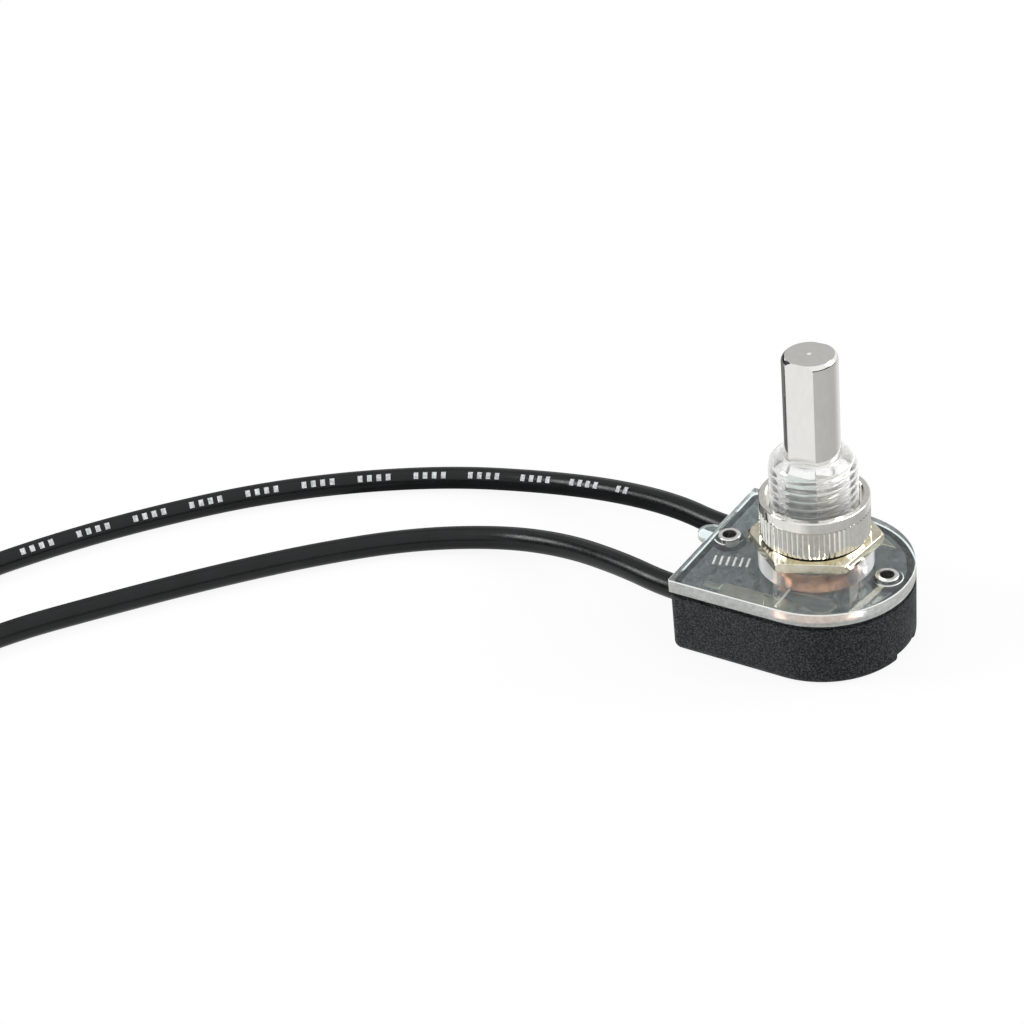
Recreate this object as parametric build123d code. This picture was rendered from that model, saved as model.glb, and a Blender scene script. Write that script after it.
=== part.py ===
from build123d import *
import math
import os

os.makedirs("parts", exist_ok=True)

# Push-button lamp switch: a black base under a clear threaded cover, two nuts, a push rod that turns
# a contact rotor one step at a time, and two leads that lie on the table.
# Millimetres, +Z up. The origin is on the push rod's axis at the underside of the base.
# +X points to the round end, and the leads leave through the flat end.

# Body outline
body_width = 20.3
flat_end_x = -12.85
round_end_x = 10.75
base_height = 7.8
base_wall = 1.0
base_floor = 1.2
base_corner = 0.9
base_edge_round = 1.0
cavity_corner = 0.6
rim_inset = 0.25
rim_height = 0.55

# Clear cover with its boss and threaded bushing
cover_thickness = 1.5
cover_corner = 0.3
boss_radius = 6.28
boss_height = 2.45
boss_roof = 0.75
boss_pocket_clearance = 0.2
thread_diameter = 9.525
bushing_length = 11.15
bushing_round = 1.5
weld_line_width = 0.22
weld_line_height = 0.12
weld_line_margin = 0.5
lug_radius = 1.5
lug_x = -12.9
lug_rise = 0.05
lug_thickness = 0.65

# Eyelets that rivet cover and base together
eyelet_places = (-10.6, 8.35)
eyelet_radius = 1.05
eyelet_bore_radius = 0.8
eyelet_head_radius = 1.27
eyelet_head_height = 0.28
eyelet_head_round = 0.13
eyelet_clearance = 0.05
eyelet_ring_radius = 1.65
eyelet_ring_height = 0.1
eyelet_post_radius = 1.9
recess_radius = 2.3
recess_depth = 1.25
recess_wall = 0.8

# Push rod
rod_diameter = 5.9
rod_across_flats = 4.98
rod_clearance = 0.08
rod_top_z = 34.75
rod_edge_width = 0.36
rod_edge_depth = 0.85
rod_dimple_radius = 0.28
rod_dimple_depth = 0.15
rod_travel = 2.5
stop_ring_radius = 4.1
stop_ring_thickness = 0.6
tail_radius = 1.5
tail_length = 1.9

# Ratchet driver on the rod's tail
driver_radius = 2.75
driver_height = 3.2
spring_seat_depth = 0.8
spring_seat_clearance = 0.15
lug_count = 4
driver_lug_tip = 3.9
driver_lug_width = 0.9
driver_lug_height = 1.25

# Rotor, its pivot and its contact sleeve
pivot_radius = 2.3
pivot_bore_radius = 1.95
pivot_height = 2.2
pivot_clearance = 0.06
washer_radius = 4.2
washer_thickness = 0.5
rotor_flange_thickness = 1.1
crown_inner_radius = 3.0
crown_height = 4.8
rotor_step_degrees = 45.0
ramp_gap = 0.3
ramp_end_gap = 0.36
sleeve_radius = 4.85
sleeve_thickness = 0.35
sleeve_clearance = 0.05
sleeve_end_gap = 0.2
window_degrees = 36.0
window_height = 3.4
window_sill = 1.6

# Return spring
spring_mean_radius = 1.5
spring_wire_radius = 0.2
spring_turns = 6

# Contact strips: a flat tab on the base's shelf, folded down into a spring that stands on edge, turns round a
# hairpin and runs back past the sleeve. Insets are measured from the cavity's side wall.
strip_thickness = 0.3
strip_cover_gap = 0.3
strip_sleeve_gap = 0.33
tab_start_x = -7.6
front_tab_end_x = 1.2
rear_tab_end_x = 7.0
tab_wall_gap = 0.3
shelf_width = 1.3
spring_height = 2.2
spring_inset = 2.25
spring_start_x = -3.5
front_spring_corners = ((spring_start_x, spring_inset), (0.3, 2.1), (4.6, 1.15))
rear_spring_corners = ((spring_start_x, spring_inset), (4.3, spring_inset))
front_arm_reach = 5.0
rear_arm_reach = 3.7
arm_past_sleeve = 1.2
arm_lean_degrees = 5.4

# Leads
lead_diameter = 2.8
lead_hole_clearance = 0.05
lead_inset = 2.75
lead_z = 5.4
lead_start_x = -10.4
strand_radius = 0.6
strip_off_length = 12.0
crimp_length = 2.8
crimp_radius = 1.1
crimp_clearance = 0.05
riser_thickness = 0.4
tongue_thickness = 0.5
tongue_length = 2.8
tongue_width = 0.95

# Nuts
hex_across_flats = 12.7
hex_thickness = 1.15
hex_corner_degrees = 21.3
hex_bevel = 0.35
nut_thread_clearance = 0.06
nut_gap = 0.1
ring_nut_radius = 5.95
ring_knurl_height = 3.4
ring_collar_height = 1.4
ring_groove_width = 0.16
ring_groove_depth = 0.3
ring_foot_bevel = 0.35
ring_edge_round = 0.15
ring_counterbore_radius = 5.3
flute_count = 64
flute_width = 0.34

# Places worked out from the sizes above
arc_x = round_end_x - body_width / 2
cover_top_z = base_height + cover_thickness
boss_top_z = cover_top_z + boss_height
bushing_top_z = boss_top_z + bushing_length
boss_ceiling_z = boss_top_z - boss_roof
thread_radius = thread_diameter / 2
rod_radius = rod_diameter / 2
lead_radius = lead_diameter / 2
stop_ring_z = boss_ceiling_z - stop_ring_thickness
rod_foot_z = stop_ring_z - stop_ring_thickness
driver_foot_z = rod_foot_z - driver_height
driver_seat_z = driver_foot_z + spring_seat_depth
rotor_z = base_floor + washer_thickness
crown_z = rotor_z + rotor_flange_thickness
crown_top_z = crown_z + crown_height
crown_outer_radius = sleeve_radius - sleeve_thickness - sleeve_clearance
sleeve_top_z = boss_ceiling_z - sleeve_end_gap
hex_nut_z = boss_top_z
ring_nut_z = hex_nut_z + hex_thickness + nut_gap
inner_half_width = body_width / 2 - base_wall
tab_top_z = base_height - strip_cover_gap
tab_seat_z = tab_top_z - strip_thickness
tab_edge_y = inner_half_width - spring_inset - strip_thickness / 2
lead_y = inner_half_width - lead_inset

# The driver's lugs slide down the rotor's ramps: one full press is one step of the rotor.
lug_path_radius = (crown_inner_radius + driver_lug_tip) / 2
lug_shift = lug_path_radius * math.sin(math.radians(rotor_step_degrees / 2))
ramp_slope = rod_travel / (2 * lug_shift)
driver_lug_z = driver_foot_z + ramp_gap + 0.05

# The leads' routes, from the crimp inside the flat end to the end of the insulation
rear_lead_route = (
    (lead_start_x, lead_y, lead_z),
    (-14.9, lead_y, lead_z),
    (-22.5, 8.6, 5.2),
    (-32.5, 10.7, 3.5),
    (-43.5, 10.8, 1.9),
    (-54.5, 8.0, lead_radius),
    (-65.5, 2.0, lead_radius),
    (-75.5, -5.6, lead_radius),
    (-84.0, -14.7, lead_radius),
    (-91.5, -24.5, lead_radius),
    (-98.0, -35.5, lead_radius),
    (-101.5, -47.5, lead_radius),
    (-101.2, -59.2, lead_radius),
    (-97.0, -69.8, lead_radius),
)
front_lead_route = (
    (lead_start_x, -lead_y, lead_z),
    (-14.9, -lead_y, lead_z),
    (-22.3, -4.4, 5.1),
    (-31.5, -1.8, 3.5),
    (-41.0, -1.5, 1.9),
    (-51.0, -5.7, lead_radius),
    (-60.0, -13.2, lead_radius),
    (-68.7, -22.4, lead_radius),
    (-77.0, -32.4, lead_radius),
    (-85.0, -42.7, lead_radius),
    (-90.0, -54.5, lead_radius),
    (-90.5, -67.5, lead_radius),
    (-85.5, -79.0, lead_radius),
    (-77.5, -88.2, lead_radius),
)


def body_outline(inset, corner):
    """The body's plan: straight sides, a full round end and a flat end with small corners."""
    half_width = body_width / 2 - inset
    flat_x = flat_end_x + inset
    plan = Pos((flat_x + arc_x) / 2, 0) * Rectangle(arc_x - flat_x, 2 * half_width)
    plan += Pos(arc_x, 0) * Circle(half_width)
    corners = plan.vertices().filter_by_position(Axis.X, flat_x - 0.01, flat_x + 0.01)
    return fillet(corners, corner)


def ring(outer_radius, inner_radius, bottom_z, height, x=0):
    """A plain upright ring, about the rod's axis unless it is placed elsewhere along X."""
    return Pos(x, 0, bottom_z) * extrude(Circle(outer_radius) - Circle(inner_radius), height)


def rod_section(extra):
    """The push rod's round section with its two flats, grown by a clearance."""
    flats = Rectangle(rod_diameter + 1, rod_across_flats + 2 * extra)
    return Circle(rod_radius + extra) & flats


def eyelet_recess(x):
    """The pocket under one eyelet, open to the nearest end of the body."""
    reach = round_end_x - x if x > 0 else x - flat_end_x
    side = 1 if x > 0 else -1
    pocket = Circle(recess_radius) + Pos(side * (reach + 1) / 2, 0) * Rectangle(reach + 1, 2 * recess_radius)
    return Pos(x, 0, 0) * extrude(pocket, recess_depth)


def base_housing():
    shell = extrude(body_outline(0, base_corner), base_height)
    shell = fillet(shell.faces().sort_by(Axis.Z)[0].edges(), base_edge_round)
    rim = body_outline(-1, base_corner) - body_outline(rim_inset, base_corner)
    shell -= Pos(0, 0, base_height - rim_height) * extrude(rim, rim_height)
    cavity = extrude(body_outline(base_wall, cavity_corner), base_height)
    shell -= Pos(0, 0, base_floor) * cavity
    inner_walls = ring(pivot_radius, pivot_bore_radius, base_floor, pivot_height)
    for side, end_x in ((1, rear_tab_end_x), (-1, front_tab_end_x)):
        shelf_y = inner_half_width - shelf_width / 2
        shelf = Box(end_x - flat_end_x, shelf_width, tab_seat_z, align=(Align.MIN, Align.CENTER, Align.MIN))
        inner_walls += Pos(flat_end_x, side * shelf_y, 0) * shelf
    roof_z = recess_depth + base_floor
    for x in eyelet_places:
        inner_walls += Pos(x, 0, 0) * Cylinder(
            recess_radius + recess_wall, roof_z, align=(Align.CENTER, Align.CENTER, Align.MIN)
        )
        inner_walls += Pos(x, 0, 0) * Cylinder(
            eyelet_post_radius, base_height, align=(Align.CENTER, Align.CENTER, Align.MIN)
        )
    middle_of_walls = body_outline(base_wall / 2, cavity_corner)
    inside = Pos(0, 0, base_floor / 2) * extrude(middle_of_walls, base_height - base_floor / 2)
    shell += inner_walls & inside
    for x in eyelet_places:
        shell -= eyelet_recess(x)
        shell -= Pos(x, 0, 0) * Cylinder(eyelet_radius + eyelet_clearance, 3 * base_height)
    for side in (1, -1):
        hole = Cylinder(lead_radius + lead_hole_clearance, 2 * base_wall + 1, rotation=(0, 90, 0))
        shell -= Pos(flat_end_x, side * lead_y, lead_z) * hole
    return shell


def clear_cover():
    cover = Pos(0, 0, base_height) * extrude(body_outline(0, cover_corner), cover_thickness)
    cover += Pos(0, 0, base_height) * extrude(Circle(boss_radius), boss_top_z - base_height)
    bushing = Pos(0, 0, base_height) * extrude(Circle(thread_radius), bushing_top_z - base_height)
    cover += fillet(bushing.faces().sort_by(Axis.Z)[-1].edges(), bushing_round)
    for x in eyelet_places:
        cover += ring(eyelet_ring_radius, eyelet_radius, base_height, cover_thickness + eyelet_ring_height, x)
    cover += Pos(lug_x, 0, cover_top_z + lug_rise) * Cylinder(
        lug_radius, lug_thickness, align=(Align.CENTER, Align.CENTER, Align.MAX)
    )
    line_start = boss_radius - weld_line_margin
    line_end = body_width / 2 - weld_line_margin
    line_length = line_end - line_start
    cover += Pos(0, -line_end, cover_top_z - weld_line_height) * Box(
        weld_line_width, line_length, 2 * weld_line_height, align=(Align.CENTER, Align.MIN, Align.MIN)
    )
    cover -= Pos(0, 0, base_height) * extrude(
        Circle(sleeve_radius + boss_pocket_clearance), boss_ceiling_z - base_height
    )
    cover -= Pos(0, 0, base_height) * extrude(rod_section(rod_clearance), bushing_top_z)
    for x in eyelet_places:
        cover -= Pos(x, 0, base_height) * Cylinder(eyelet_radius + eyelet_clearance, 2 * base_height)
    return cover


def cover_eyelet(x):
    """A hollow rivet from the recess under the base to the ring on the cover."""
    top_seat_z = cover_top_z + eyelet_ring_height
    foot_z = recess_depth - eyelet_head_height
    tube = ring(eyelet_radius, eyelet_bore_radius, foot_z, top_seat_z + eyelet_head_height - foot_z)
    for head_z in (foot_z, top_seat_z):
        head = ring(eyelet_head_radius, eyelet_bore_radius, head_z, eyelet_head_height)
        outer = head.edges().filter_by(GeomType.CIRCLE).group_by(SortBy.RADIUS)[-1]
        tube += fillet(outer, eyelet_head_round)
    return Pos(x, 0, 0) * tube


def push_rod():
    """The rod and its tail, turned in one piece, with a dimple on top and two flats."""
    body_z, tail_z = rod_foot_z, rod_foot_z - tail_length
    edge_z = rod_top_z - rod_edge_depth
    edge_top = (rod_radius - rod_edge_width, rod_top_z)
    bulge = (rod_radius - 0.22 * rod_edge_width, rod_top_z - 0.38 * rod_edge_depth)
    outline = [
        Polyline((0, rod_top_z - rod_dimple_depth), (0, tail_z), (tail_radius, tail_z)),
        Polyline((tail_radius, tail_z), (tail_radius, body_z), (rod_radius, body_z), (rod_radius, edge_z)),
        ThreePointArc((rod_radius, edge_z), bulge, edge_top),
        Polyline(edge_top, (rod_dimple_radius, rod_top_z), (0, rod_top_z - rod_dimple_depth)),
    ]
    blank = revolve(Plane.XZ * make_face(Curve() + outline), Axis.Z)
    flats = Box(2 * rod_diameter, rod_across_flats, 3 * rod_top_z)
    return blank & flats


def rod_stop_ring():
    section = Circle(stop_ring_radius) - rod_section(0)
    return Pos(0, 0, stop_ring_z) * extrude(section, stop_ring_thickness)


def tangent_prism(corners, inner_radius, outer_radius, degrees):
    """A prism drawn across the radius at an angle about the axis, from one radius to another."""
    face = Plane.XZ * make_face(Polyline(*corners, close=True))
    prism = Pos(0, -inner_radius, 0) * extrude(face, outer_radius - inner_radius)
    return Rot(0, 0, degrees + 90) * prism


def ratchet_driver():
    driver = Pos(0, 0, driver_foot_z) * extrude(Circle(driver_radius), driver_height)
    half = driver_lug_width / 2
    low = driver_lug_z
    top = driver_lug_z + driver_lug_height
    corners = ((-half, top), (-half, low), (half, low + ramp_slope * driver_lug_width), (half, top))
    for step in range(lug_count):
        driver += tangent_prism(corners, driver_radius - 0.3, driver_lug_tip, 45 + step * 360 / lug_count)
    driver -= Pos(0, 0, rod_foot_z - tail_length) * extrude(Circle(tail_radius), tail_length)
    seat_radius = spring_mean_radius + spring_wire_radius + spring_seat_clearance
    return driver - Pos(0, 0, driver_foot_z) * extrude(Circle(seat_radius), spring_seat_depth)


def rotor():
    body = ring(sleeve_radius, pivot_radius + pivot_clearance, rotor_z, rotor_flange_thickness)
    body += ring(crown_outer_radius, crown_inner_radius, crown_z, crown_height)
    low_side = lug_shift - driver_lug_width / 2
    ramp_at_low_side = driver_lug_z - ramp_gap
    back_x = -lug_shift - driver_lug_width / 2 - ramp_end_gap
    back_z = ramp_at_low_side + ramp_slope * (back_x - low_side)
    over_z = crown_top_z + 0.1
    over_x = low_side + (over_z - ramp_at_low_side) / ramp_slope
    corners = ((back_x, over_z), (back_x, back_z), (over_x, over_z))
    for step in range(lug_count):
        angle = 45 - rotor_step_degrees / 2 + step * 360 / lug_count
        body -= tangent_prism(corners, crown_inner_radius / 2, crown_outer_radius + 0.4, angle)
    return body


def contact_sleeve():
    """The copper sleeve, open at two sides where the circuit breaks."""
    sleeve = ring(sleeve_radius, sleeve_radius - sleeve_thickness, crown_z, sleeve_top_z - crown_z)
    half_angle = math.radians(window_degrees / 2)
    width = 2 * sleeve_radius * math.sin(half_angle)
    window = Box(4 * sleeve_radius, width, window_height, align=(Align.CENTER, Align.CENTER, Align.MIN))
    return sleeve - Pos(0, 0, crown_z + window_sill) * window


def return_spring():
    foot_z = base_floor + spring_wire_radius
    height = driver_seat_z - base_floor - 2 * spring_wire_radius
    coil = Helix(pitch=height / spring_turns, height=height, radius=spring_mean_radius)
    section = Plane(origin=coil @ 0, z_dir=coil % 0) * Circle(spring_wire_radius)
    wire = sweep(section, path=coil, is_frenet=True)
    return Pos(0, 0, foot_z) * wire


def bend_radii(points):
    """The largest bends that a route's runs allow, each taking 45 percent of its shorter run."""
    radii = []
    for before, corner, after in zip(points, points[1:], points[2:]):
        shorter = min((corner - before).length, (after - corner).length)
        turn = math.radians((corner - before).get_angle(after - corner))
        radii.append(0.45 * shorter / math.tan(turn / 2))
    return radii


def spring_route(corners, arm_reach):
    """The spring's corners seen from above, for the side towards +Y."""
    pass_radius = sleeve_radius + strip_sleeve_gap + strip_thickness / 2
    past_sleeve = Vector(0, pass_radius).rotate(Axis.Z, -arm_lean_degrees)
    along_arm = Vector(1, 0).rotate(Axis.Z, -arm_lean_degrees)
    route = [Vector(x, inner_half_width - inset) for x, inset in corners]
    return route + [past_sleeve + along_arm * arm_reach, past_sleeve - along_arm * arm_past_sleeve]


def contact_strip(side, corners, arm_reach, tab_end_x):
    """A brass strip: its flat tab, and the spring folded down from the tab's inner edge."""
    middle_z = tab_top_z - spring_height / 2
    points = [Vector(corner.X, side * corner.Y, middle_z) for corner in spring_route(corners, arm_reach)]
    path = FilletPolyline(*points, radius=bend_radii(points))
    start = Plane(origin=path @ 0, x_dir=(0, 0, 1), z_dir=path % 0)
    spring = sweep(start * Rectangle(spring_height, strip_thickness), path=path)
    wide = Pos((tab_start_x + tab_end_x) / 2, side * (tab_edge_y + body_width / 2)) * Rectangle(
        tab_end_x - tab_start_x, body_width
    )
    tab = wide & body_outline(base_wall + tab_wall_gap, cavity_corner)
    return spring + Pos(0, 0, tab_seat_z) * extrude(tab, strip_thickness)


def terminal(side):
    """A crimp barrel on the lead's strands, with a tongue that lies under the contact strip's tab."""
    bore = strand_radius + crimp_clearance
    barrel = Plane.YZ * extrude(Circle(crimp_radius), crimp_length)
    barrel = Pos(lead_start_x, side * lead_y, lead_z) * barrel
    tongue_x = lead_start_x + crimp_length - riser_thickness
    tongue_y = side * (tab_edge_y + tongue_width / 2)
    riser = Pos(tongue_x, tongue_y, tab_seat_z) * Box(
        riser_thickness, tongue_width, tab_seat_z - lead_z, align=(Align.MIN, Align.CENTER, Align.MAX)
    )
    tongue = Pos(tongue_x, tongue_y, tab_seat_z) * Box(
        tongue_length, tongue_width, tongue_thickness, align=(Align.MIN, Align.CENTER, Align.MAX)
    )
    core = Plane.YZ * extrude(Circle(bore), 3 * crimp_length)
    return barrel + riser + tongue - Pos(lead_start_x - crimp_length, side * lead_y, lead_z) * core


def lead_strands(side):
    """The bare strands inside the crimp barrel."""
    strands = Plane.YZ * extrude(Circle(strand_radius), crimp_length)
    return Pos(lead_start_x, side * lead_y, lead_z) * strands


def lead_tube(name, route):
    """A lead's insulation: straight runs joined by arcs as large as their runs allow."""
    points = [Vector(*point) for point in route]
    radii = bend_radii(points)
    path = FilletPolyline(*points, radius=radii)
    tube = sweep(Plane(origin=path @ 0, z_dir=path % 0) * Circle(lead_radius), path=path)
    plain_volume = math.pi * lead_radius**2 * path.length
    print(name, "bend radii", [round(radius, 1) for radius in radii], "length", round(path.length, 2))
    print(name, "volume over section times length", round(tube.volume / plain_volume, 5))
    return tube


def lead_tip(route):
    """The stripped end, straight on from the end of the insulation."""
    end, before = Vector(*route[-1]), Vector(*route[-2])
    return extrude(Plane(origin=end, z_dir=end - before) * Circle(strand_radius), strip_off_length)


def hex_nut():
    corner_radius = hex_across_flats / math.sqrt(3)
    plan = RegularPolygon(corner_radius, 6, rotation=hex_corner_degrees)
    plan -= Circle(thread_radius + nut_thread_clearance)
    blank = Cylinder(corner_radius, hex_thickness, align=(Align.CENTER, Align.CENTER, Align.MIN))
    rims = blank.edges().filter_by(GeomType.CIRCLE)
    rounded = chamfer(rims, hex_bevel / 2, hex_bevel)
    return Pos(0, 0, hex_nut_z) * (extrude(plan, hex_thickness) & rounded)


def ring_nut():
    """A round nut: a fluted band, a groove and a smooth collar that stands clear of the thread."""
    bore = thread_radius + nut_thread_clearance
    flute = Pos(ring_nut_radius, 0) * Rot(0, 0, 45) * Rectangle(flute_width, flute_width)
    flutes = Sketch() + [Rot(0, 0, step * 360 / flute_count) * flute for step in range(flute_count)]
    band = extrude(Circle(ring_nut_radius) - flutes - Circle(bore), ring_knurl_height)
    foot = Cone(
        ring_nut_radius - ring_foot_bevel,
        ring_nut_radius - ring_foot_bevel + ring_knurl_height,
        ring_knurl_height,
        align=(Align.CENTER, Align.CENTER, Align.MIN),
    )
    nut = band & foot
    neck = ring(ring_nut_radius - ring_groove_depth, bore, ring_knurl_height, ring_groove_width)
    collar_z = ring_knurl_height + ring_groove_width
    collar = ring(ring_nut_radius, bore, collar_z, ring_collar_height - ring_groove_width)
    top_rim = collar.faces().sort_by(Axis.Z)[-1].edges().sort_by(SortBy.RADIUS)[-1]
    nut = nut + neck + fillet(top_rim, ring_edge_round)
    nut -= ring(ring_counterbore_radius, 0.5, ring_knurl_height, ring_collar_height)
    return Pos(0, 0, ring_nut_z) * nut


pieces = {
    "base_housing": base_housing(),
    "clear_cover": clear_cover(),
    "cover_eyelets": Compound(children=[cover_eyelet(x) for x in eyelet_places]),
    "hex_nut": hex_nut(),
    "ring_nut": ring_nut(),
    "push_rod": push_rod(),
    "rod_stop_ring": rod_stop_ring(),
    "ratchet_driver": ratchet_driver(),
    "rotor": rotor(),
    "contact_sleeve": contact_sleeve(),
    "pivot_washer": ring(washer_radius, pivot_radius + pivot_clearance, base_floor, washer_thickness),
    "return_spring": return_spring(),
    "front_contact": contact_strip(-1, front_spring_corners, front_arm_reach, front_tab_end_x),
    "rear_contact": contact_strip(1, rear_spring_corners, rear_arm_reach, rear_tab_end_x),
    "front_terminal": terminal(-1),
    "rear_terminal": terminal(1),
    "front_strands": lead_strands(-1),
    "rear_strands": lead_strands(1),
    "front_lead": lead_tube("front lead", front_lead_route),
    "rear_lead": lead_tube("rear lead", rear_lead_route),
    "front_lead_tip": lead_tip(front_lead_route),
    "rear_lead_tip": lead_tip(rear_lead_route),
}

for name, piece in pieces.items():
    export_step(piece, f"parts/{name}.step")
    print(name, "volume", round(piece.volume, 2))
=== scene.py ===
import math
import bmesh
import bpy
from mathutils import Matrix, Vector

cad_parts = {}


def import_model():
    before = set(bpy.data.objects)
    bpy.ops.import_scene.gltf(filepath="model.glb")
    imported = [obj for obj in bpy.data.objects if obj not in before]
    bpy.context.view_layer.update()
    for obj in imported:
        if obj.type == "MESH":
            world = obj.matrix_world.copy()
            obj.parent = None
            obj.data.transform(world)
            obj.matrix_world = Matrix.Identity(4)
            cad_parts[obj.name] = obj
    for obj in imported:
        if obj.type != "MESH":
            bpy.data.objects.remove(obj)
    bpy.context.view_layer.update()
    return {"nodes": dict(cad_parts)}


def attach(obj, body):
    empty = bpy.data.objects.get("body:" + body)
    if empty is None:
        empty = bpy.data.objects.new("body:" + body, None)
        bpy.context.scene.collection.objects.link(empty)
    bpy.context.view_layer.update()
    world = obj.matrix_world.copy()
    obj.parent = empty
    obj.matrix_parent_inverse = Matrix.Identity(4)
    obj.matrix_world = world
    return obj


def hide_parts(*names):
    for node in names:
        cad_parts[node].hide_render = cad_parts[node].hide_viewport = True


# The looks of a push-button lamp switch: clear threaded cover, bright rod and nuts, black base and leads.
# Metres, in the CAD model's frame: +Z up, the origin on the rod's axis at the underside of the base.

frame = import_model()
nodes = frame["nodes"]
mm = 0.001

# Camera, fitted to the photograph's edges
camera_azimuth = 36.72
camera_elevation = 32.78
camera_roll = -7.09
camera_distance = 230.0 * mm
camera_aim_height = 15.0 * mm
camera_aim_right = -32.13 * mm
camera_aim_up = 4.35 * mm
focal_pixels = 2147.9
image_pixels = 1024

# Sizes that the looks share with the solids
cover_top = 9.3 * mm
boss_radius = 6.28 * mm
boss_wall_band = 0.2 * mm
boss_reach = 6.5 * mm
weld_line_width = 0.22 * mm
rim_break = 0.1 * mm
boss_top = 11.75 * mm
bushing_top = 22.9 * mm
thread_radius = 4.7625 * mm
thread_pitch = 25.4 / 27 * mm
thread_depth = 0.46 * mm
thread_turn = 0.35
thread_start = 0.5 * mm
thread_crest_share = 0.14
thread_flank_share = 0.66
bushing_round = 1.5 * mm
bushing_core = thread_radius - bushing_round
seam_gap = 0.02 * mm
lead_radius = 1.4 * mm
strand_bundle_radius = 0.6 * mm
strip_off_length = 12.0 * mm
brass_edge_width = 0.12 * mm
nut_edge_width = 0.13 * mm

# Places closer than these count as one: corners to be joined, and heights to be compared
join_distance = 0.0005 * mm
margin = 0.002 * mm

# A face counts as upright where its normal rises or falls by less than this
upright_limit = 0.5

# The clear cover's material slots, after the clear plastic itself
edge_slot = 1
thread_slot = 2
boss_slot = 3
rim_slot = 4

# Plain dashes printed on the rear lead, on the side that print_side looks to. The lead's line is read every
# dash_step, and a dash with its gap takes dash_rows of these steps. dash_numbers are the first dash and the
# end of the row, and in every dash_group the first dash_gaps are left out
dash_step = 0.15 * mm
dash_rows = 8
dash_numbers = (16, 104)
dash_group = 6
dash_gaps = 2
dash_half_angle = 0.3
print_side = (0.28, -0.62, 0.73)
print_rise = 0.01 * mm

# Plain raised strokes on the plate
stroke_start = (-10.0 * mm, -4.6 * mm, 9.29 * mm)
stroke_count = 6
stroke_pitch = 0.75 * mm
stroke_length = 1.7 * mm
stroke_width = 0.26 * mm
stroke_rise = 0.1 * mm
stroke_taper = 0.7
stroke_turn = math.radians(-75.0)

# Studio: the dome's brightness against the sine of the height above the horizon. The floor's brightness, as
# metal shows it, goes with the direction round the switch from -X over -Y, +X and +Y back to -X, and
# floor_glow_share is how much of the floor that is seen is its own glow
dome_by_height = ((0.0, 0.3), (0.3, 0.5), (1.0, 0.8))
floor_in_metal = (
    (0.0, 0.35), (0.05, 0.9), (0.24, 0.9), (0.3, 0.5), (0.62, 0.45),
    (0.72, 0.8), (0.82, 0.8), (0.86, 0.1), (0.96, 0.1),
)
floor_glow_share = 0.9
floor_colour = (0.9, 0.9, 0.9)
white = (1.0, 1.0, 1.0, 1.0)

# Cards that only metal, glass and other glossy things show, each with its name, azimuth and elevation in
# degrees, width, height and distance in metres, and brightness
cards = (
    ("left_black_card", 205.0, 22.0, 1.6, 1.1, 1.2, 0.06),
    ("back_grey_card", 122.0, 36.0, 1.3, 1.2, 1.2, 0.55),
    ("left_horizon_card", 160.0, 6.0, 1.2, 0.55, 1.3, 0.02),
    ("horizon_card_right", 10.0, 3.0, 2.4, 0.5, 1.4, 0.03),
    ("horizon_card_front", 290.0, 3.0, 2.4, 0.5, 1.4, 0.03),
)

# Lamps, each with its name, place, size in metres and power in watts; both point just above the plate
lamps = (
    ("key", (-0.436, -0.252, 0.327), 0.2, 1.5),
    ("right", (0.468, 0.328, 0.33), 0.4, 2.7),
)
lamp_aim = (0.0, 0.0, 10.0 * mm)

# The leads' routes, as in the CAD model, in millimetres
rear_route = (
    (-10.4, 6.4, 5.4), (-14.9, 6.4, 5.4), (-22.5, 8.6, 5.2), (-32.5, 10.7, 3.5), (-43.5, 10.8, 1.9),
    (-54.5, 8.0, 1.4), (-65.5, 2.0, 1.4), (-75.5, -5.6, 1.4), (-84.0, -14.7, 1.4), (-91.5, -24.5, 1.4),
    (-98.0, -35.5, 1.4), (-101.5, -47.5, 1.4), (-101.2, -59.2, 1.4), (-97.0, -69.8, 1.4),
)
front_route = (
    (-10.4, -6.4, 5.4), (-14.9, -6.4, 5.4), (-22.3, -4.4, 5.1), (-31.5, -1.8, 3.5), (-41.0, -1.5, 1.9),
    (-51.0, -5.7, 1.4), (-60.0, -13.2, 1.4), (-68.7, -22.4, 1.4), (-77.0, -32.4, 1.4), (-85.0, -42.7, 1.4),
    (-90.0, -54.5, 1.4), (-90.5, -67.5, 1.4), (-85.5, -79.0, 1.4), (-77.5, -88.2, 1.4),
)


def new_material(name, colour, roughness, metallic=0.0, **inputs):
    """A Principled material; the extra inputs are set by their socket names with _ for a space."""
    material = bpy.data.materials.new(name)
    material.use_nodes = True
    shader = material.node_tree.nodes["Principled BSDF"]
    shader.inputs["Base Color"].default_value = (*colour, 1.0)
    shader.inputs["Roughness"].default_value = roughness
    shader.inputs["Metallic"].default_value = metallic
    for socket, value in inputs.items():
        shader.inputs[socket.replace("_", " ")].default_value = value
    return material


def object_coordinates(material, scale):
    """The object's own coordinates, stretched by a scale per axis."""
    tree = material.node_tree
    place = tree.nodes.new("ShaderNodeTexCoord")
    stretch = tree.nodes.new("ShaderNodeMapping")
    stretch.inputs["Scale"].default_value = scale
    tree.links.new(place.outputs["Object"], stretch.inputs["Vector"])
    return stretch.outputs["Vector"]


def noise(material, scale, detail=4.0, stretch=(1.0, 1.0, 1.0)):
    """A noise texture in the object's coordinates; scale is in features per metre."""
    node = material.node_tree.nodes.new("ShaderNodeTexNoise")
    node.inputs["Scale"].default_value = scale
    node.inputs["Detail"].default_value = detail
    material.node_tree.links.new(object_coordinates(material, stretch), node.inputs["Vector"])
    return node.outputs["Fac"]


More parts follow.
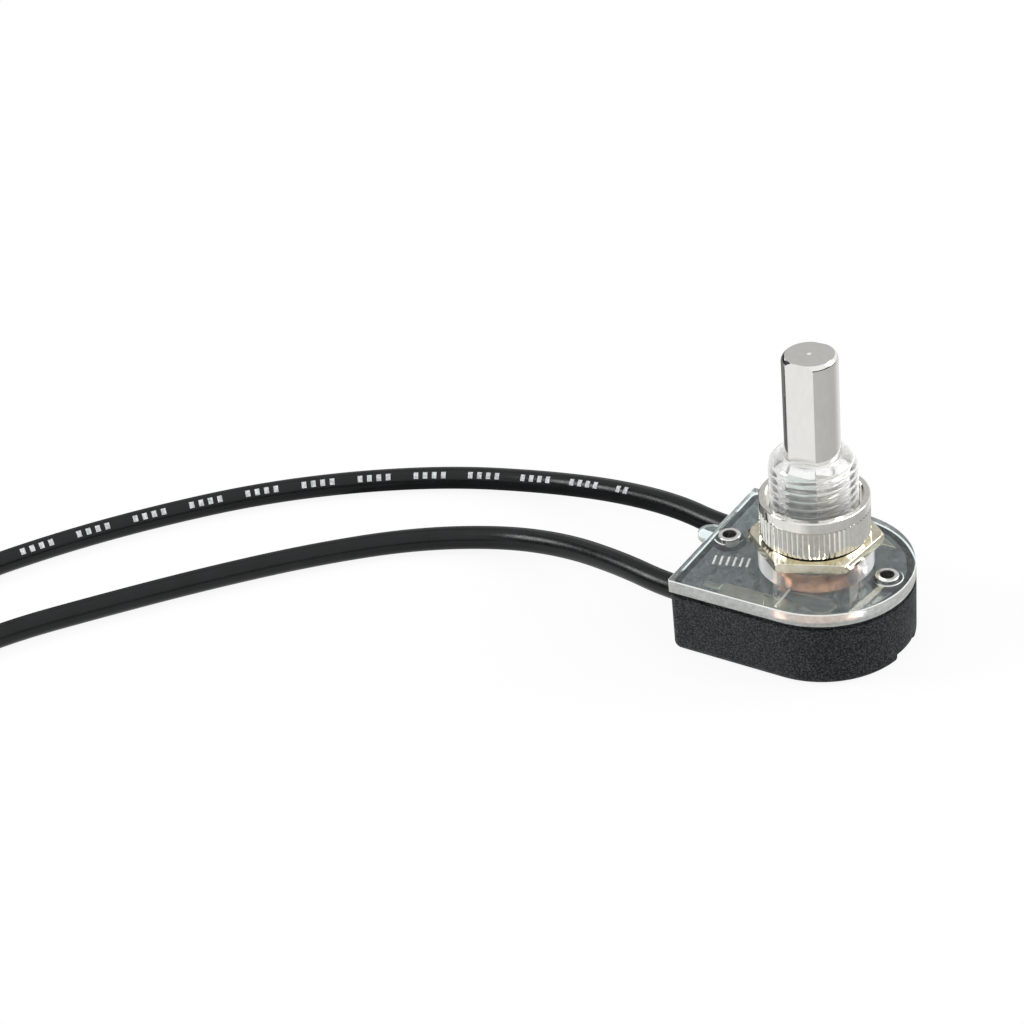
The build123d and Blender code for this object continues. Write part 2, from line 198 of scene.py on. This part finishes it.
def vary(material, socket, source, low, high, start=0.3, end=0.7):
    """Drives one socket of the shader between two values or colours from a texture."""
    tree = material.node_tree
    ramp = tree.nodes.new("ShaderNodeValToRGB")
    ramp.color_ramp.elements[0].position = start
    ramp.color_ramp.elements[1].position = end
    for element, value in zip(ramp.color_ramp.elements, (low, high)):
        colour = value if isinstance(value, tuple) else (value, value, value)
        element.color = (*colour, 1.0)
    tree.links.new(source, ramp.inputs["Fac"])
    tree.links.new(ramp.outputs["Color"], tree.nodes["Principled BSDF"].inputs[socket])


def bump(material, source, height, strength=1.0):
    """A bump from a texture; height is in metres."""
    tree = material.node_tree
    node = tree.nodes.new("ShaderNodeBump")
    node.inputs["Distance"].default_value = height
    node.inputs["Strength"].default_value = strength
    tree.links.new(source, node.inputs["Height"])
    tree.links.new(node.outputs["Normal"], tree.nodes["Principled BSDF"].inputs["Normal"])


def metal(name, colour, dark, roughness, grain_scale, bump_height, stretch=(1.0, 1.0, 1.0)):
    """A metal with a fine grain in its colour, gloss and surface; a stretch below 1 draws the grain out."""
    material = new_material(name, colour, roughness, 1.0)
    grain = noise(material, grain_scale, stretch=stretch)
    vary(material, "Base Color", grain, dark, colour)
    vary(material, "Roughness", grain, roughness * 0.7, roughness * 1.4)
    bump(material, grain, bump_height, 0.5)
    return material


def clear_material(name, haze, roughness, least, most, by_angle=False):
    """Clear plastic with a milky haze: the share of light that passes varies from least to most, in spots or
    with the angle at which it is seen; seen at a slant it turns whiter, which is a painted sheen."""
    material = new_material(name, haze, roughness, Transmission_Weight=most, IOR=1.49)
    tree = material.node_tree
    if by_angle:
        facing = tree.nodes.new("ShaderNodeLayerWeight")
        facing.inputs["Blend"].default_value = 0.5
        vary(material, "Transmission Weight", facing.outputs["Facing"], most, least, 0.3, 0.75)
    else:
        vary(material, "Transmission Weight", noise(material, 2100.0, 4.0), least, most)
    bump(material, noise(material, 450.0, 3.0), 0.012 * mm, 0.25)
    open_shadow = tree.nodes.new("ShaderNodeMath")
    open_shadow.operation = "MULTIPLY"
    open_shadow.inputs[1].default_value = most
    tree.links.new(any_ray(tree, "Is Shadow Ray"), open_shadow.inputs[0])
    mix = tree.nodes.new("ShaderNodeMixShader")
    tree.links.new(open_shadow.outputs[0], mix.inputs[0])
    tree.links.new(tree.nodes["Principled BSDF"].outputs[0], mix.inputs[1])
    tree.links.new(tree.nodes.new("ShaderNodeBsdfTransparent").outputs[0], mix.inputs[2])
    tree.links.new(mix.outputs[0], tree.nodes["Material Output"].inputs["Surface"])
    return material


def make_materials():
    """Every finish of the switch, by name."""
    base = new_material("black_moulding", (0.012, 0.013, 0.015), 0.42, Specular_IOR_Level=0.25)
    # Fine speckle: the bright dots in the colour are painted glints, and the same noise gives the fine bumps
    speckle_and_glints = noise(base, 5200.0, 6.0)
    vary(base, "Base Color", speckle_and_glints, (0.002, 0.0025, 0.003), (0.07, 0.077, 0.085), 0.44, 0.68)
    vary(base, "Roughness", noise(base, 900.0), 0.36, 0.55)
    bump(base, speckle_and_glints, 0.2 * mm, 1.0)

    clear = clear_material("clear_plastic", (0.84, 0.94, 0.95), 0.02, 0.88, 0.98)
    edge = clear_material("clear_plastic_edge", (0.84, 0.85, 0.81), 0.25, 0.45, 0.62)
    # Near-opaque white for the broken rim: a painted highlight line; the raised strokes on the plate take it
    # too
    rim_line = clear_material("clear_plastic_rim_line", (0.97, 0.98, 0.96), 0.3, 0.05, 0.2)
    # Thread and boss turn whiter where seen at a slant: a painted sheen
    thread = clear_material("clear_plastic_thread", (0.98, 0.98, 0.97), 0.04, 0.12, 0.95, by_angle=True)
    boss = clear_material("clear_plastic_boss", (0.97, 0.97, 0.97), 0.03, 0.12, 0.92, by_angle=True)

    works = new_material("natural_nylon", (0.72, 0.70, 0.64), 0.45)
    vary(works, "Base Color", noise(works, 700.0), (0.64, 0.62, 0.56), (0.76, 0.74, 0.69))

    lead = new_material("black_insulation", (0.004, 0.005, 0.006), 0.3, Specular_IOR_Level=0.32)
    vary(lead, "Base Color", noise(lead, 300.0), (0.002, 0.0025, 0.003), (0.006, 0.007, 0.008))
    vary(lead, "Roughness", noise(lead, 1400.0), 0.24, 0.34)
    bump(lead, noise(lead, 2400.0), 0.02 * mm, 0.4)

    # Near-white, barely metallic brass for the contacts' broken edges: a painted highlight along them
    painted_highlight_edge = new_material("brass_edge", (1.0, 0.9, 0.68), 0.4)
    vary(painted_highlight_edge, "Base Color", noise(painted_highlight_edge, 1500.0), (0.95, 0.8, 0.55), (1.0, 0.92, 0.72))

    ink = new_material("pale_print", (0.72, 0.75, 0.76), 0.5)
    vary(ink, "Base Color", noise(ink, 3000.0), (0.35, 0.37, 0.38), (0.8, 0.83, 0.84))

    return {
        "base": base,
        "print": ink,
        "clear": clear,
        "edge": edge,
        "rim_line": rim_line,
        "thread": thread,
        "boss": boss,
        "works": works,
        "lead": lead,
        "rod": metal(
            "nickel_rod", (0.88, 0.865, 0.835), (0.83, 0.815, 0.78), 0.08, 1500.0, 0.002 * mm, (1.0, 1.0, 0.4)
        ),
        "ring": metal("nickel_ring", (0.86, 0.85, 0.81), (0.78, 0.77, 0.72), 0.1, 1800.0, 0.003 * mm),
        "hex": metal("yellow_plating", (0.92, 0.885, 0.76), (0.74, 0.68, 0.50), 0.12, 900.0, 0.006 * mm),
        "eyelet": metal("bright_eyelet", (0.95, 0.945, 0.93), (0.86, 0.85, 0.83), 0.22, 2600.0, 0.01 * mm),
        "copper": metal(
            "bare_copper", (0.97, 0.50, 0.30), (0.34, 0.10, 0.05), 0.2, 520.0, 0.02 * mm, (1.0, 1.0, 0.5)
        ),
        # Brass darker than bare brass: painted shade for the contacts down in the base's hollow
        "brass": metal(
            "rolled_brass", (0.36, 0.29, 0.17), (0.20, 0.155, 0.085), 0.35, 1500.0, 0.006 * mm, (0.3, 1.0, 1.0)
        ),
        "brass_edge": painted_highlight_edge,
        "strand": metal("copper_strand", (0.85, 0.47, 0.30), (0.66, 0.31, 0.18), 0.25, 2500.0, 0.004 * mm),
        "steel": metal("drawn_steel", (0.62, 0.63, 0.64), (0.48, 0.49, 0.50), 0.28, 2400.0, 0.006 * mm),
    }


def paint(thing, material):
    """Gives a thing one material, in place of what it has."""
    thing.data.materials.clear()
    thing.data.materials.append(material)


def mesh_object(name, body, material):
    """Puts a bmesh into the scene as an object with one material."""
    mesh = bpy.data.meshes.new(name)
    body.to_mesh(mesh)
    body.free()
    thing = bpy.data.objects.new(name, mesh)
    bpy.context.scene.collection.objects.link(thing)
    paint(thing, material)
    return thing


def thread_radius_at(angle, z):
    """The thread's surface: flanks and flats along one pitch, run out at the boss."""
    along = ((z - boss_top) / thread_pitch - angle / math.tau + thread_turn) % 1.0
    from_crest = min(along, 1.0 - along) * 2.0
    flank = min(max((from_crest - thread_crest_share) / thread_flank_share, 0.0), 1.0)
    run_out = min(max((z - boss_top - thread_start) / thread_pitch, 0.0), 1.0)
    return thread_radius - thread_depth * flank * run_out


def bushing_profile():
    """The plain bushing's outside as (radius, height) pairs: the straight wall, then the round shoulder."""
    steps_per_pitch = 14
    shoulder_steps = 24
    shoulder_end = 0.49 * math.pi
    shoulder_z = bushing_top - bushing_round
    start_z = boss_top + seam_gap
    rows = round((shoulder_z - start_z) / thread_pitch * steps_per_pitch)
    wall = [(thread_radius, start_z + (shoulder_z - start_z) * row / rows) for row in range(rows)]
    turns = [shoulder_end * step / shoulder_steps for step in range(shoulder_steps + 1)]
    shoulder = [
        (bushing_core + bushing_round * math.cos(turn), shoulder_z + bushing_round * math.sin(turn))
        for turn in turns
    ]
    return wall + shoulder


def faces_outward(face):
    """Whether a face stands upright and looks away from the rod's axis."""
    centre = face.calc_center_median()
    outward = face.normal.x * centre.x + face.normal.y * centre.y
    return abs(face.normal.z) < upright_limit and outward > 0


def break_rim(body):
    """Breaks the plate's sharp upper edge and gives the new faces, which are painted near-white as a highlight
    line.
    """
    sharp_turn = 1.0
    rim = []
    for edge in body.edges:
        on_top = all(abs(vertex.co.z - cover_top) < margin for vertex in edge.verts)
        outside = all(vertex.co.xy.length > boss_reach + rim_break for vertex in edge.verts)
        sharp = len(edge.link_faces) == 2 and edge.calc_face_angle() > sharp_turn
        upright = [face for face in edge.link_faces if abs(face.normal.z) < upright_limit]
        outer = any(face.normal.dot(face.calc_center_median()) > 0 for face in upright)
        if on_top and outside and sharp and outer:
            rim.append(edge)
    made = bmesh.ops.bevel(body, geom=rim, offset=rim_break, segments=2, profile=0.5, affect="EDGES")
    return set(made["faces"])


def break_edges(thing, width, segments):
    """Joins a solid's faces at their corners and breaks its sharp edges, so that they catch the light."""
    weld = thing.modifiers.new("weld", "WELD")
    weld.merge_threshold = join_distance
    broken = thing.modifiers.new("broken_edges", "BEVEL")
    broken.width = width
    broken.segments = segments
    broken.harden_normals = True
    return broken


def open_bushing(body):
    """Takes the plain wall and shoulder off the bushing; gives the lower and the upper rim that are left."""
    plain = [
        face for face in body.faces
        if boss_top + margin < face.calc_center_median().z < bushing_top - margin
        and min(vertex.co.xy.length for vertex in face.verts) > bushing_core - seam_gap
    ]
    bmesh.ops.delete(body, geom=plain, context="FACES")
    rims = [edge for edge in body.edges if edge.is_boundary]
    middle = (boss_top + bushing_top) / 2
    lower_rim = [edge for edge in rims if edge.verts[0].co.z < middle]
    upper_rim = [edge for edge in rims if edge.verts[0].co.z > middle]
    return lower_rim, upper_rim


def cut_thread(body, lower_rim, upper_rim):
    """A threaded wall and a round shoulder between the two rims."""
    steps_round = 128
    angles = [math.tau * step / steps_round for step in range(steps_round)]
    grid = []
    for radius, z in bushing_profile():
        radii = [min(radius, thread_radius_at(angle, z)) for angle in angles]
        grid.append([
            body.verts.new((reach * math.cos(angle), reach * math.sin(angle), z))
            for angle, reach in zip(angles, radii)
        ])
    for lower, upper in zip(grid, grid[1:]):
        for step in range(steps_round):
            after = (step + 1) % steps_round
            face = body.faces.new((lower[step], lower[after], upper[after], upper[step]))
            face.smooth = True
    for row, rim in ((grid[0], lower_rim), (grid[-1], upper_rim)):
        loop = [body.edges.get((row[step], row[(step + 1) % steps_round])) for step in range(steps_round)]
        bmesh.ops.bridge_loops(body, edges=rim + loop)
    bmesh.ops.recalc_face_normals(body, faces=body.faces)


def cover_slot(face):
    """The material slot of a face of the cover, by its place; its broken rim is chosen before."""
    centre = face.calc_center_median()
    reach = centre.xy.length
    on_boss_wall = abs(reach - boss_radius) < boss_wall_band and cover_top < centre.z < boss_top
    if centre.z > boss_top and reach > bushing_core - seam_gap - thread_depth:
        return thread_slot
    if on_boss_wall and faces_outward(face):
        return boss_slot
    if centre.z > cover_top + margin and abs(centre.x) < weld_line_width and centre.y < -boss_radius:
        return edge_slot
    if centre.z < cover_top and reach > boss_reach and faces_outward(face):
        return edge_slot
    return face.material_index


def clear_cover(finishes):
    """The clear cover with a real thread on its bushing, in place of the plain wall and shoulder."""
    mesh = nodes["clear_cover"].data.copy()
    cover = bpy.data.objects.new("clear_cover_threaded", mesh)
    bpy.context.scene.collection.objects.link(cover)
    body = bmesh.new()
    body.from_mesh(mesh)
    bmesh.ops.remove_doubles(body, verts=body.verts, dist=join_distance)
    lower_rim, upper_rim = open_bushing(body)
    cut_thread(body, lower_rim, upper_rim)
    rim_faces = break_rim(body)
    for face in body.faces:
        face.material_index = rim_slot if face in rim_faces else cover_slot(face)
    paint(cover, finishes["clear"])
    for finish in ("edge", "thread", "boss", "rim_line"):
        mesh.materials.append(finishes[finish])
    body.to_mesh(mesh)
    body.free()
    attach(cover, "housing")
    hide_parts("clear_cover")


def route_curve(name, route):
    """A smooth curve with the route's points as its control points."""
    curve = bpy.data.curves.new(name, "CURVE")
    curve.dimensions = "3D"
    curve.resolution_u = 16
    line = curve.splines.new("NURBS")
    line.points.add(len(route) - 1)
    for point, place in zip(line.points, route):
        point.co = (*(value * mm for value in place), 1.0)
    line.order_u = 3
    line.use_endpoint_u = True
    return curve


def points_along(route, step):
    """Evenly spaced places and directions read from the route's smooth curve."""
    guide = bpy.data.objects.new("route_guide", route_curve("route_guide", route))
    read = bpy.data.meshes.new_from_object(guide)
    places = [vertex.co.copy() for vertex in read.vertices]
    bpy.data.meshes.remove(read)
    bpy.data.objects.remove(guide)
    found = []
    to_next = 0.0
    for start, end in zip(places, places[1:]):
        run = (end - start).length
        while to_next < run:
            found.append((start.lerp(end, to_next / run), (end - start).normalized()))
            to_next += step
        to_next -= run
    return found


def printed_dashes(name, route, material):
    """Plain pale dashes printed along a lead, where the real one carries its marking."""
    facing = Vector(print_side)
    sides = 4
    reach = lead_radius + print_rise
    turns = [dash_half_angle * (2 * side / sides - 1) for side in range(sides + 1)]
    along_line = points_along(route, dash_step)
    body = bmesh.new()
    for number in range(*dash_numbers):
        if number % dash_group < dash_gaps:
            continue
        rows = []
        first = number * dash_rows
        for place, direction in along_line[first:first + dash_rows // 2 + 1]:
            outward = (facing - direction * facing.dot(direction)).normalized()
            across = direction.cross(outward)
            spokes = [outward * math.cos(turn) + across * math.sin(turn) for turn in turns]
            rows.append([body.verts.new(place + spoke * reach) for spoke in spokes])
        for lower, upper in zip(rows, rows[1:]):
            for side in range(sides):
                face = body.faces.new((lower[side], lower[side + 1], upper[side + 1], upper[side]))
                face.smooth = True
    bmesh.ops.recalc_face_normals(body, faces=body.faces)
    piece = mesh_object(name, body, material)
    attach(piece, "housing")
    return piece


def moulded_dashes(material):
    """A row of plain raised strokes on the plate, where the real one has moulded marks."""
    along = Vector((math.cos(stroke_turn), math.sin(stroke_turn), 0.0))
    across = Vector((-along.y, along.x, 0.0))
    corners = ((-1, -1), (1, -1), (1, 1), (-1, 1))
    body = bmesh.new()
    for number in range(stroke_count):
        middle = Vector(stroke_start) + across * stroke_pitch * number
        foot = []
        head = []
        for end, side in corners:
            corner = along * end * stroke_length / 2 + across * side * stroke_width / 2
            foot.append(body.verts.new(middle + corner))
            head.append(body.verts.new(middle + corner * stroke_taper + Vector((0.0, 0.0, stroke_rise))))
        body.faces.new(head)
        for step in range(len(corners)):
            after = (step + 1) % len(corners)
            body.faces.new((foot[step], foot[after], head[after], head[step]))
    bmesh.ops.recalc_face_normals(body, faces=body.faces)
    piece = mesh_object("moulded_dashes", body, material)
    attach(piece, "housing")


def lead(name, route, material, on_lead):
    """A lead's insulation as one smooth curve through its route."""
    curve = route_curve(name, route)
    curve.bevel_depth = lead_radius
    curve.bevel_resolution = 8
    curve.use_fill_caps = True
    piece = bpy.data.objects.new(name, curve)
    bpy.context.scene.collection.objects.link(piece)
    curve.materials.append(material)
    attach(piece, "housing")
    return piece


def stripped_tip(name, route, material):
    """The bare end of a lead: a core strand with twisted strands round it."""
    outer_strands = 6
    strand_radius = strand_bundle_radius / 3
    lay_radius = strand_bundle_radius - strand_radius
    twist_length = 11.0 * mm
    sides = 8
    steps = 40
    start = Vector(route[-1]) * mm
    along = (Vector(route[-1]) - Vector(route[-2])).normalized()
    across = along.cross(Vector((0, 0, 1))).normalized()
    upward = across.cross(along)
    body = bmesh.new()
    for strand in range(outer_strands + 1):
        rings = []
        for step in range(steps + 1):
            run = strip_off_length * step / steps
            turn = math.tau * (strand / outer_strands + run / twist_length)
            reach = lay_radius if strand < outer_strands else 0.0
            centre = start + along * run + (across * math.cos(turn) + upward * math.sin(turn)) * reach
            ring = []
            for side in range(sides):
                angle = math.tau * side / sides
                spoke = across * math.cos(angle) + upward * math.sin(angle)
                ring.append(body.verts.new(centre + spoke * strand_radius))
            rings.append(ring)
        for lower, upper in zip(rings, rings[1:]):
            for side in range(sides):
                after = (side + 1) % sides
                face = body.faces.new((lower[side], lower[after], upper[after], upper[side]))
                face.smooth = True
        body.faces.new(rings[0])
        body.faces.new(rings[-1])
    bmesh.ops.recalc_face_normals(body, faces=body.faces)
    piece = mesh_object(name, body, material)
    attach(piece, "housing")
    return piece


def floor():
    """A wide pale floor that the camera sees as white, with the object's soft shadow on it."""
    size = 3.0
    below = 0.02 * mm
    body = bmesh.new()
    corners = ((-size, -size), (size, -size), (size, size), (-size, size))
    body.faces.new([body.verts.new((x, y, -below)) for x, y in corners])
    material = new_material("pale_floor", floor_colour, 0.9, Specular_IOR_Level=0.0)
    tree = material.node_tree
    glow = tree.nodes.new("ShaderNodeEmission")
    tree.links.new(floor_glow(tree), glow.inputs["Color"])
    share = tree.nodes.new("ShaderNodeMath")
    share.operation = "MULTIPLY"
    share.inputs[1].default_value = floor_glow_share
    mix = tree.nodes.new("ShaderNodeMixShader")
    tree.links.new(any_ray(tree, "Is Camera Ray", "Is Glossy Ray", "Is Transmission Ray"), share.inputs[0])
    tree.links.new(share.outputs[0], mix.inputs[0])
    tree.links.new(tree.nodes["Principled BSDF"].outputs[0], mix.inputs[1])
    tree.links.new(glow.outputs[0], mix.inputs[2])
    tree.links.new(mix.outputs[0], tree.nodes["Material Output"].inputs["Surface"])
    mesh_object("floor", body, material)


def any_ray(tree, *kinds):
    """1 for rays of any of these kinds, else 0."""
    path = tree.nodes.new("ShaderNodeLightPath")
    total = path.outputs[kinds[0]]
    for kind in kinds[1:]:
        either = tree.nodes.new("ShaderNodeMath")
        either.operation = "MAXIMUM"
        tree.links.new(total, either.inputs[0])
        tree.links.new(path.outputs[kind], either.inputs[1])
        total = either.outputs[0]
    return total


def grey_ramp(tree, source, stops):
    """Greys along a value from 0 to 1: a list of (place, brightness)."""
    ramp = tree.nodes.new("ShaderNodeValToRGB")
    ends = ramp.color_ramp.elements
    while len(ends) < len(stops):
        ends.new(1.0)
    for end, (place, brightness) in zip(ends, stops):
        end.position = place
        end.color = (brightness, brightness, brightness, 1.0)
    tree.links.new(source, ramp.inputs["Fac"])
    return ramp.outputs["Color"]


def mix_colour(tree, share, first, second):
    """The first colour where the share is 0, the second where it is 1."""
    node = tree.nodes.new("ShaderNodeMix")
    node.data_type = "RGBA"
    for socket, value in (("Factor_Float", share), ("A_Color", first), ("B_Color", second)):
        target = next(entry for entry in node.inputs if entry.identifier == socket)
        if isinstance(value, bpy.types.NodeSocket):
            tree.links.new(value, target)
        else:
            target.default_value = value
    return next(entry for entry in node.outputs if entry.identifier == "Result_Color")


def floor_glow(tree):
    """The floor's own brightness: white where it is looked at, and in metal changing round the switch."""
    place = tree.nodes.new("ShaderNodeTexCoord")
    parts = tree.nodes.new("ShaderNodeSeparateXYZ")
    tree.links.new(place.outputs["Object"], parts.inputs[0])
    angle = tree.nodes.new("ShaderNodeMath")
    angle.operation = "ARCTAN2"
    tree.links.new(parts.outputs["Y"], angle.inputs[0])
    tree.links.new(parts.outputs["X"], angle.inputs[1])
    share = tree.nodes.new("ShaderNodeMath")
    share.operation = "MULTIPLY_ADD"
    share.inputs[1].default_value = 1 / math.tau
    share.inputs[2].default_value = 0.5
    tree.links.new(angle.outputs[0], share.inputs[0])
    reflected = grey_ramp(tree, share.outputs[0], floor_in_metal)
    looked_at = any_ray(tree, "Is Camera Ray", "Is Transmission Ray")
    return mix_colour(tree, looked_at, reflected, white)


def world():
    """A studio dome that lights from above, and is plain white to look at and in metal and glass."""
    sky = bpy.data.worlds.new("studio")
    bpy.context.scene.world = sky
    sky.use_nodes = True
    tree = sky.node_tree
    shade = tree.nodes["Background"]
    place = tree.nodes.new("ShaderNodeTexCoord")
    parts = tree.nodes.new("ShaderNodeSeparateXYZ")
    tree.links.new(place.outputs["Generated"], parts.inputs[0])
    dome = grey_ramp(tree, parts.outputs["Z"], dome_by_height)
    seen = any_ray(tree, "Is Camera Ray", "Is Glossy Ray", "Is Transmission Ray")
    tree.links.new(mix_colour(tree, seen, dome, white), shade.inputs["Color"])


def card(name, azimuth, elevation, width, height, distance, brightness):
    """A flat card beside the picture that faces the switch and shows only in metal, glass and gloss."""
    azimuth, elevation = math.radians(azimuth), math.radians(elevation)
    towards = Vector((
        math.cos(azimuth) * math.cos(elevation), math.sin(azimuth) * math.cos(elevation), math.sin(elevation)
    ))
    body = bmesh.new()
    corners = ((-width, -height), (width, -height), (width, height), (-width, height))
    body.faces.new([body.verts.new((x / 2, y / 2, 0.0)) for x, y in corners])
    material = bpy.data.materials.new(name)
    material.use_nodes = True
    tree = material.node_tree
    glow = tree.nodes.new("ShaderNodeEmission")
    glow.inputs["Color"].default_value = (brightness, brightness, brightness, 1.0)
    tree.links.new(glow.outputs[0], tree.nodes["Material Output"].inputs["Surface"])
    thing = mesh_object(name, body, material)
    thing.location = towards * distance
    thing.rotation_euler = towards.to_track_quat("-Z", "Y").to_euler()
    for kind in ("visible_camera", "visible_diffuse", "visible_shadow"):
        setattr(thing, kind, False)


def lamp(name, place, size, power):
    """A square soft lamp that points at lamp_aim."""
    data = bpy.data.lights.new(name, "AREA")
    data.size = size
    data.energy = power
    thing = bpy.data.objects.new(name, data)
    thing.location = place
    thing.rotation_euler = (Vector(lamp_aim) - Vector(place)).to_track_quat("-Z", "Y").to_euler()
    bpy.context.scene.collection.objects.link(thing)


def camera():
    """The camera at the photograph's viewpoint."""
    azimuth, elevation = math.radians(camera_azimuth), math.radians(camera_elevation)
    roll = math.radians(camera_roll)
    back = Vector((
        math.sin(azimuth) * math.cos(elevation), -math.cos(azimuth) * math.cos(elevation), math.sin(elevation)
    ))
    level_right = Vector((math.cos(azimuth), math.sin(azimuth), 0.0))
    level_up = back.cross(level_right)
    aim = Vector((0.0, 0.0, camera_aim_height)) + level_right * camera_aim_right + level_up * camera_aim_up
    right = level_right * math.cos(roll) + level_up * math.sin(roll)
    up = back.cross(right)
    data = bpy.data.cameras.new("camera")
    data.sensor_width = 36.0
    data.lens = focal_pixels / image_pixels * data.sensor_width
    data.clip_start = 0.005
    data.clip_end = 20.0
    thing = bpy.data.objects.new("camera", data)
    turned = thing.matrix_world.to_3x3()
    turned.col[0], turned.col[1], turned.col[2] = right, up, back
    thing.matrix_world = turned.to_4x4()
    thing.location = aim + back * camera_distance
    bpy.context.scene.collection.objects.link(thing)
    bpy.context.scene.camera = thing


materials = make_materials()
camera()
world()
for values in lamps:
    lamp(*values)
floor()
for values in cards:
    card(*values)

for side, route in (("front", front_route), ("rear", rear_route)):
    tip = stripped_tip(f"{side}_twisted_tip", route, materials["strand"])
    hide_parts(f"{side}_lead_tip")
    on_lead = [tip]
    if side == "rear":
        on_lead.append(printed_dashes("rear_lead_dashes", route, materials["print"]))
    cord = lead(f"{side}_insulation", route, materials["lead"], on_lead)
    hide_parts(f"{side}_lead")

clear_cover(materials)
moulded_dashes(materials["rim_line"])

nodes_by_finish = {
    "base": ("base_housing",),
    "eyelet": ("cover_eyelets",),
    "hex": ("hex_nut",),
    "ring": ("ring_nut",),
    "rod": ("push_rod",),
    "copper": ("contact_sleeve",),
    "brass": ("front_contact", "rear_contact", "front_terminal", "rear_terminal"),
    "strand": ("front_strands", "rear_strands"),
    "works": ("rotor", "ratchet_driver"),
    "steel": ("pivot_washer", "return_spring", "rod_stop_ring"),
}
for finish, names in nodes_by_finish.items():
    for name in names:
        paint(nodes[name], materials[finish])
# The contacts' broken edges take the painted highlight material
for name in nodes_by_finish["brass"]:
    highlight_slot = len(nodes[name].data.materials)
    nodes[name].data.materials.append(materials["brass_edge"])
    break_edges(nodes[name], brass_edge_width, segments=2).material = highlight_slot
break_edges(nodes["hex_nut"], nut_edge_width, segments=3)

bpy.context.scene.view_settings.view_transform = "Standard"
